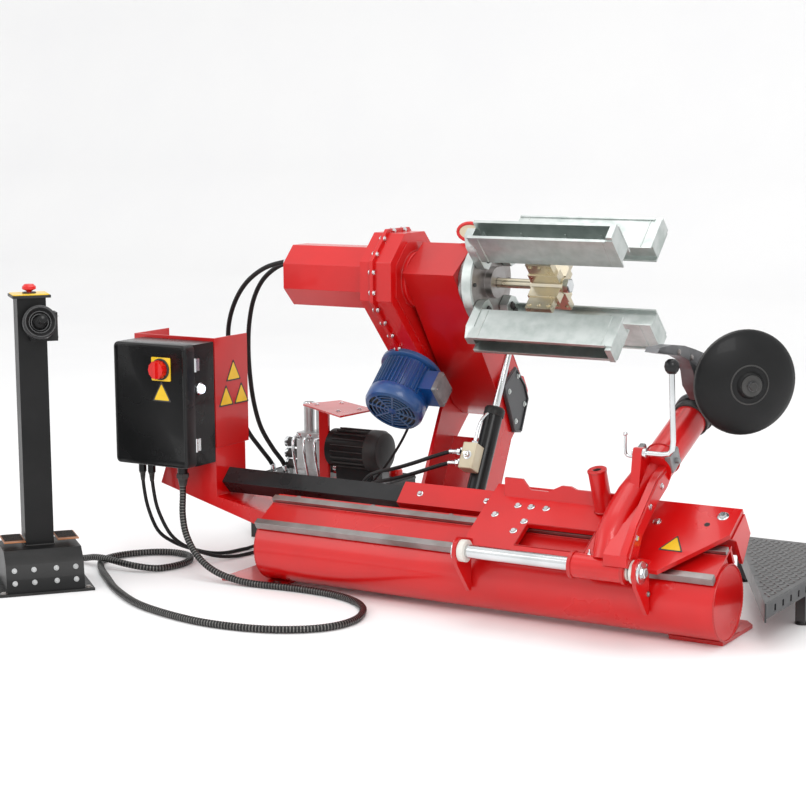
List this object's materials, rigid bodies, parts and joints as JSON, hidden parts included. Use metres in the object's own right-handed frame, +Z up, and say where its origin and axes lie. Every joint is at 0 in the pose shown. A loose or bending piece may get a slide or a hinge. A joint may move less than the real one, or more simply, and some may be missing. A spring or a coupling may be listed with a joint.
{
  "type": "truck tyre changer",
  "caption": "Hydraulic truck tyre changer: four-jaw chuck on a powered lifting arm, sliding carriage with a swivelling bead tool, pump and pedal control stand.",
  "frame": {"origin": "on the underside of the right foot, below the bed tube's axis, at floor height", "axes": "+X along the bed tube towards its closed right end, +Y to the rear where the chuck arm stands, +Z up"},
  "size_m": [2.5125, 1.4167, 1.1591],
  "materials": {
    "red_paint": "semi-gloss",
    "black_paint": "semi-gloss",
    "steel": "machined",
    "zinc": "yellow zinc plated",
    "grey_paint": "satin",
    "blue_paint": "satin",
    "nylon": "matt",
    "black_plastic": "matt",
    "red_plastic": "gloss",
    "clear_plastic": "gloss",
    "cord_rubber": "matt",
    "conduit_metal": "spiral wound",
    "copper": "worn plate",
    "cast": "machined casting"
  },
  "bodies": {
    "chassis": {"bed_tube": "red_paint", "left_support": "red_paint", "bed_plate": "red_paint", "front_rail": "steel", "rear_rail": "steel", "foot_right": "red_paint", "guide_beam": "black_paint", "box_bracket": "red_paint", "control_box": "black_plastic", "rear_base": "red_paint", "arm_pivot_pin": "steel", "elbow_guard": "grey_paint", "pump_tank": "black_paint", "pump_valves": "grey_paint", "pump_motor": "blue_paint", "pump_cover": "red_paint", "footboard": "black_paint", "stand_base": "black_paint", "conduit": "conduit_metal", "box_cable_a": "cord_rubber", "box_cable_b": "cord_rubber", "union_hose_a": "cord_rubber", "union_hose_b": "cord_rubber", "lift_hose_a": "cord_rubber", "lift_hose_b": "cord_rubber", "motor_cable": "cord_rubber"},
    "door": {"box_door": "black_plastic"},
    "switch": {"rotary_switch": "red_plastic"},
    "start": {"start_button": "clear_plastic"},
    "pedal_l": {"pedal_left": "copper"},
    "pedal_r": {"pedal_right": "copper"},
    "stop": {"estop_button": "red_plastic"},
    "stick": {"joystick": "black_plastic"},
    "arm": {"mandrel_arm": "red_paint", "gearbox_left_half": "red_paint", "gearbox_right_half": "red_paint", "rotary_housing": "red_paint", "motor": "blue_paint", "spindle_bearing": "steel", "hose_hoop": "red_paint"},
    "chuck": {"chuck_spindle": "steel", "spindle_gear": "steel"},
    "draw_rod": {"chuck_rod": "zinc"},
    "jaw_a": {"jaw_1": "zinc"},
    "jaw_b": {"jaw_2": "zinc"},
    "jaw_c": {"jaw_3": "zinc"},
    "jaw_d": {"jaw_4": "zinc"},
    "lay": {"layshaft": "steel"},
    "worm": {"worm_shaft": "steel"},
    "barrel": {"lift_barrel": "black_paint"},
    "ram": {"lift_rod": "steel"},
    "carriage": {"carriage_sleeve": "red_paint", "carriage_plate": "red_paint", "tool_shaft": "steel"},
    "bushing": {"arm_bushing": "nylon"},
    "swing_arm": {"tool_arm": "red_paint"},
    "lever": {"lock_lever": "steel"},
    "head": {"tool_head": "cast"},
    "disc": {"bead_disc": "black_paint"}
  },
  "joints": [
    {"name": "arm_lift", "type": "hinge", "parent": "chassis", "child": "arm", "pos_m": [-1.0425, 0.67, 0.545], "axis": [1, 0, 0], "range_deg": [-8, 20], "deforming": ["union_hose_a", "union_hose_b", "motor_cable"]},
    {"name": "chuck_spin", "type": "hinge", "parent": "arm", "child": "chuck", "pos_m": [-0.89, 0.377, 0.954], "axis": [1, 0, 0], "continuous": true},
    {"name": "draw_slide", "type": "slide", "parent": "chuck", "child": "draw_rod", "axis": [1, 0, 0], "range_m": [-0.02, 0]},
    {"name": "layshaft_spin", "type": "hinge", "parent": "arm", "child": "lay", "pos_m": [-1.21, 0.45451, 0.84289], "axis": [1, 0, 0], "continuous": true},
    {"name": "worm_spin", "type": "hinge", "parent": "arm", "child": "worm", "pos_m": [-1.21, 0.455, 0.646], "axis": [0, -0.7335, -0.6797], "continuous": true},
    {"name": "barrel_swing", "type": "hinge", "parent": "chassis", "child": "barrel", "pos_m": [-0.895, 0.25, 0.17], "axis": [1, 0, 0], "range_deg": [-2, 4], "deforming": ["lift_hose_a", "lift_hose_b"]},
    {"name": "ram_slide", "type": "slide", "parent": "barrel", "child": "ram", "axis": [0, 0.4646, 0.8855], "range_m": [-0.08, 0.035]},
    {"name": "carriage_slide", "type": "slide", "parent": "chassis", "child": "carriage", "axis": [1, 0, 0], "range_m": [-0.18, 0]},
    {"name": "arm_slide", "type": "slide", "parent": "carriage", "child": "bushing", "axis": [1, 0, 0], "range_m": [-0.025, 0]},
    {"name": "arm_tilt", "type": "hinge", "parent": "bushing", "child": "swing_arm", "pos_m": [-0.2225, -0.175, 0.222], "axis": [-1, 0, 0], "range_deg": [-95, 2]},
    {"name": "lever_swing", "type": "hinge", "parent": "swing_arm", "child": "lever", "pos_m": [-0.185, 0, 0.525], "axis": [1, 0, 0], "range_deg": [-5, 10]},
    {"name": "head_turn", "type": "hinge", "parent": "swing_arm", "child": "head", "pos_m": [-0.16, 0.352, 0.603], "axis": [0, 0.9142, 0.4053], "range_deg": [0, 180]},
    {"name": "disc_spin", "type": "hinge", "parent": "head", "child": "disc", "pos_m": [0.075, 0.175, 0.715], "axis": [0.6815, -0.7295, -0.0576], "continuous": true},
    {"name": "door_swing", "type": "hinge", "parent": "chassis", "child": "door", "pos_m": [-1.71, -0.07, 0.56], "axis": [0, 0, 1], "range_deg": [0, 90]},
    {"name": "switch_turn", "type": "hinge", "parent": "door", "child": "switch", "pos_m": [-1.805, -0.12, 0.677], "axis": [0, -1, 0], "range_deg": [0, 90]},
    {"name": "start_press", "type": "slide", "parent": "chassis", "child": "start", "axis": [-1, 0, 0], "range_m": [0, 0.004], "stiffness_N_per_m": 200},
    {"name": "pedal_left_press", "type": "hinge", "parent": "chassis", "child": "pedal_l", "pos_m": [-2.18562, -0.43435, 0.15], "axis": [0.6428, 0.766, 0], "range_deg": [0, 6], "stiffness_Nm_per_rad": 8},
    {"name": "pedal_right_press", "type": "hinge", "parent": "chassis", "child": "pedal_r", "pos_m": [-2.07763, -0.30566, 0.15], "axis": [0.6428, 0.766, 0], "range_deg": [0, 6], "stiffness_Nm_per_rad": 8},
    {"name": "stop_press", "type": "slide", "parent": "chassis", "child": "stop", "axis": [0, 0, -1], "range_m": [0, 0.005]},
    {"name": "stick_swing", "type": "hinge", "parent": "chassis", "child": "stick", "pos_m": [-2.03272, -0.4295, 0.84575], "axis": [0.6428, 0.766, 0], "range_deg": [-12, 12], "stiffness_Nm_per_rad": 2},
    {"name": "jaw_a_slide", "type": "slide", "parent": "chuck", "child": "jaw_a", "axis": [0, 0.7071, 0.7071], "range_m": [-0.03, 0]},
    {"name": "jaw_b_slide", "type": "slide", "parent": "chuck", "child": "jaw_b", "axis": [0, -0.7071, 0.7071], "range_m": [-0.03, 0]},
    {"name": "jaw_c_slide", "type": "slide", "parent": "chuck", "child": "jaw_c", "axis": [0, -0.7071, -0.7071], "range_m": [-0.03, 0]},
    {"name": "jaw_d_slide", "type": "slide", "parent": "chuck", "child": "jaw_d", "axis": [0, 0.7071, -0.7071], "range_m": [-0.03, 0]}
  ],
  "couplings": [
    {"joint": "layshaft_spin", "follows": "chuck_spin", "ratio": -2.8571},
    {"joint": "worm_spin", "follows": "chuck_spin", "ratio": 17.143},
    {"joint": "barrel_swing", "follows": "arm_lift", "ratio": 0.18437},
    {"joint": "ram_slide", "follows": "arm_lift", "m_per_rad": -0.20841},
    {"joint": "jaw_a_slide", "follows": "draw_slide", "ratio": 1.5},
    {"joint": "jaw_b_slide", "follows": "draw_slide", "ratio": 1.5},
    {"joint": "jaw_c_slide", "follows": "draw_slide", "ratio": 1.5},
    {"joint": "jaw_d_slide", "follows": "draw_slide", "ratio": 1.5}
  ]
}
